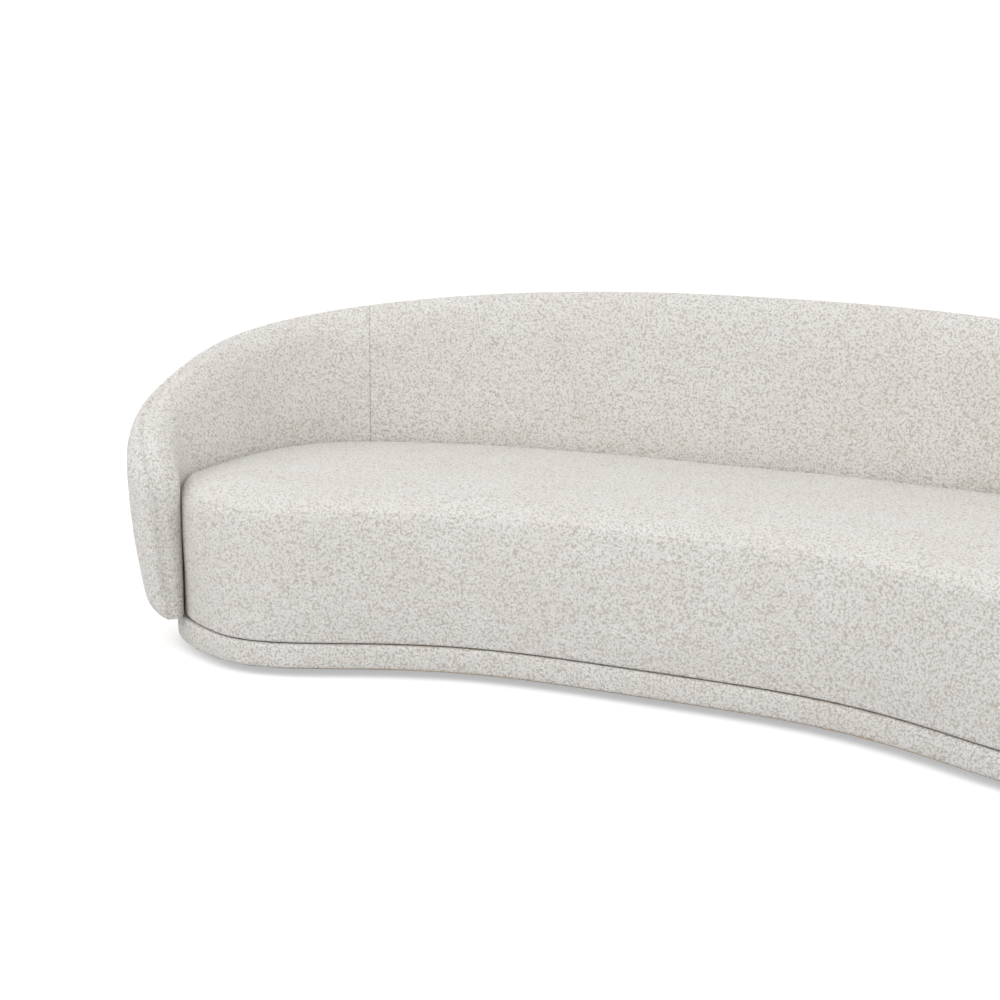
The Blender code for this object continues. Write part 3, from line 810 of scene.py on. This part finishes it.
def makeWood(name, light, dark, along, rough):
    wood = Finish(name, **{"Roughness": rough, "Specular IOR Level": 0.35})
    where = wood.place(along)
    wander = wood.node("TexNoise", {}, {
        "Vector": where, "Scale": 3.0, "Detail": 4.0, "Distortion": 1.2})
    streak = wood.node("TexNoise", {}, {
        "Vector": where, "Scale": 28.0, "Detail": 5.0, "Roughness": 0.65})
    grain = wood.smooth(wander * 0.6 + streak * 0.4, 0.36, 0.62)
    pore = wood.node("TexNoise", {}, {"Vector": where, "Scale": 160.0, "Detail": 2.0})
    color = wood.blend(grain, (*dark, 1.0), (*light, 1.0))
    bump = wood.node("Bump", {}, {
        "Strength": 0.35, "Distance": 0.0006, "Height": streak + pore * 0.5})
    wood.drive(Base_Color=color, Roughness=rough + pore * 0.12 - 0.06, Normal=bump)
    return wood.material


def makeMetal(name, color, rough):
    metal = Finish(name, **{"Metallic": 1.0})
    where = metal.place()
    cloud = metal.node("TexNoise", {}, {"Vector": where, "Scale": 45.0, "Detail": 4.0})
    fine = metal.node("TexNoise", {}, {"Vector": where, "Scale": 900.0, "Detail": 2.0})
    dull = tuple(0.78 * part for part in color)
    tint = metal.blend(metal.smooth(cloud, 0.35, 0.70), (*color, 1.0), (*dull, 1.0))
    bump = metal.node("Bump", {}, {"Strength": 0.25, "Distance": 0.0002, "Height": fine})
    metal.drive(Base_Color=tint, Roughness=rough + cloud * 0.2 - 0.1, Normal=bump)
    return metal.material


def makeFoam():
    foam = Finish("paleFoam", **{"Roughness": 0.95, "Specular IOR Level": 0.2})
    where = foam.place()
    cell = foam.node("TexVoronoi", {}, {"Vector": where, "Scale": 520.0})
    deep, pale = (0.80, 0.74, 0.56, 1.0), (0.90, 0.86, 0.72, 1.0)
    color = foam.blend(foam.smooth(cell, 0.1, 0.6), deep, pale)
    bump = foam.node("Bump", {}, {"Strength": 0.5, "Distance": 0.0008, "Height": cell})
    foam.drive(Base_Color=color, Normal=bump)
    return foam.material


def makePlastic():
    plastic = Finish("mouldedNylon", **{"Specular IOR Level": 0.45})
    where = plastic.place()
    speck = plastic.node("TexNoise", {}, {"Vector": where, "Scale": 700.0, "Detail": 2.0})
    color = plastic.blend(speck, (0.030, 0.030, 0.032, 1.0), (0.055, 0.055, 0.058, 1.0))
    bump = plastic.node("Bump", {}, {"Strength": 0.3, "Distance": 0.0002, "Height": speck})
    plastic.drive(Base_Color=color, Roughness=0.38 + speck * 0.2, Normal=bump)
    return plastic.material


def makeDustCloth():
    cloth = Finish("spunDustCloth", **{"Roughness": 0.92, "Specular IOR Level": 0.15})
    where = cloth.place()
    thread = cloth.node("TexNoise", {}, {
        "Vector": where, "Scale": 260.0, "Detail": 5.0, "Distortion": 2.0})
    dimple = cloth.node("TexVoronoi", {}, {"Vector": where, "Scale": 330.0})
    dark, light = (0.022, 0.022, 0.024, 1.0), (0.060, 0.060, 0.062, 1.0)
    color = cloth.blend(cloth.smooth(thread, 0.4, 0.62), dark, light)
    bump = cloth.node("Bump", {}, {"Strength": 0.5, "Distance": 0.0005, "Height": thread + dimple})
    cloth.drive(Base_Color=color, Normal=bump)
    return cloth.material


# camera and studio
view = {
    "place": (1.1938, -3.6674, 1.2479),
    "yaw": 24.41,
    "down": 12.86,
    "roll": 0.52,
    "lens": 64.8,
}
studio = {
    "sky": 1.06,
    "floorColor": 0.72,
    "floorGlow": 0.45,         # seen only by the camera, so the floor doesn't light the seat
    "floorFlat": 8.0,
    "floorReach": 12.0,
    "floorWall": 7.0,
    "key": ((-3.9, -3.0, 2.9), 2.8, 58),
    "front": ((4.2, -3.2, 2.8), 3.4, 70),
}


def makeCamera():
    data = bpy.data.cameras.new("camera")
    data.lens = view["lens"]
    data.sensor_width = 36.0
    camera = bpy.data.objects.new("camera", data)
    scene.collection.objects.link(camera)
    turn = Matrix.Rotation(math.radians(view["yaw"]), 4, "Z")
    turn = turn @ Matrix.Rotation(math.radians(90 - view["down"]), 4, "X")
    turn = turn @ Matrix.Rotation(math.radians(view["roll"]), 4, "Z")
    camera.matrix_world = Matrix.Translation(Vector(view["place"])) @ turn
    scene.camera = camera


def makeStage():
    # a round floor that curves up into a wall all round
    flat, reach = studio["floorFlat"], studio["floorReach"]
    profile = [(0.0, 0.0), (2.0, 0.0), (5.0, 0.0)]
    for degrees in range(0, 91, 10):
        turn = math.radians(degrees)
        radius = reach - flat
        profile.append((flat + radius * math.sin(turn), radius * (1 - math.cos(turn))))
    profile.append((reach, studio["floorWall"]))
    turns = np.linspace(0, 2 * math.pi, 97)
    rings = np.array([[(r * math.cos(a), r * math.sin(a), z) for a in turns] for r, z in profile])
    ids = np.arange(rings.shape[0] * rings.shape[1]).reshape(rings.shape[:2])
    floor = newMesh("floor", rings.reshape(-1, 3), gridFaces(ids, flip=True))
    paint = Finish("floorPaint", **{
        "Base Color": (*[studio["floorColor"]] * 3, 1.0), "Roughness": 0.9,
        "Specular IOR Level": 0.1, "Emission Strength": 1.0})
    seen = paint.node("LightPath", {}, {})
    glow = (*[studio["floorGlow"]] * 3, 1.0)
    paint.drive(Emission_Color=paint.blend(seen, (0.0, 0.0, 0.0, 1.0), glow))
    floor.data.materials.append(paint.material)
    world = bpy.data.worlds.new("studio")
    world.use_nodes = True
    sky = world.node_tree.nodes["Background"]
    sky.inputs["Color"].default_value = (1.0, 1.0, 1.0, 1.0)
    sky.inputs["Strength"].default_value = studio["sky"]
    scene.world = world
    scene.view_settings.view_transform = "Standard"
    for name in ("key", "front"):
        place, size, power = studio[name]
        data = bpy.data.lights.new(name, "AREA")
        data.size = size
        data.energy = power
        lamp = bpy.data.objects.new(name, data)
        lamp.location = place
        aim = Vector((-0.2, 0.0, 0.4)) - Vector(place)
        lamp.rotation_euler = aim.to_track_quat("-Z", "Y").to_euler()
        scene.collection.objects.link(lamp)


makeCamera()
makeStage()
print("camera and studio ready")

wool = makeBoucle()
slotFinish = {
    "upholstery": wool,
    "foam": makeFoam(),
    "plywood": makeWood(
        "birchPly", (0.66, 0.50, 0.33), (0.50, 0.34, 0.19), (1.0, 6.0, 9.0), 0.60),
    "hardwood": makeWood(
        "darkHardwood", (0.16, 0.085, 0.045), (0.075, 0.036, 0.020), (7.0, 7.0, 1.0), 0.42),
    "spring_steel": makeMetal("springSteel", (0.34, 0.35, 0.37), 0.34),
    "zinc_steel": makeMetal("zincSteel", (0.68, 0.69, 0.72), 0.30),
    "nylon": makePlastic(),
    "dust_cloth": makeDustCloth(),
}
print("finishes ready")


def dress(obj, *nodes, fill=0.9):
    obj.data.materials.clear()
    obj.data.materials.append(wool)
    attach(obj, "root")
    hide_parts(*nodes)


shellForm = makeShell()
dress(panelObject("insideLeft", shellForm, 0, shell["padding"]), "inside_left_cover")
dress(panelObject("insideBack", shellForm, 1, shell["padding"]), "inside_back_cover")
dress(panelObject("insideRight", shellForm, 2, shell["padding"]), "inside_right_cover")
dress(panelObject("outsideCover", shellForm, 3, shell["padding"]), "outer_cover", "shell_foam")
print("shell ready")

seatForm = makeSeat()
dress(panelObject("seatBoxing", seatForm, 0, seat["padding"]), "seat_boxing")
dress(panelObject("seatTop", seatForm, 1, seat["padding"]), "seat_top_pad", "seat_foam")
print("seat ready")

dress(makePlinth(), "plinth_cover", fill=1.0)
print("plinth ready")

for part in frame["record"]["subparts"]:
    for slot in frame["nodes"][part["node"]].material_slots:
        slot.material = slotFinish[part["material_slot"]]
print("frame's own pieces finished")

bpy.context.view_layer.update()
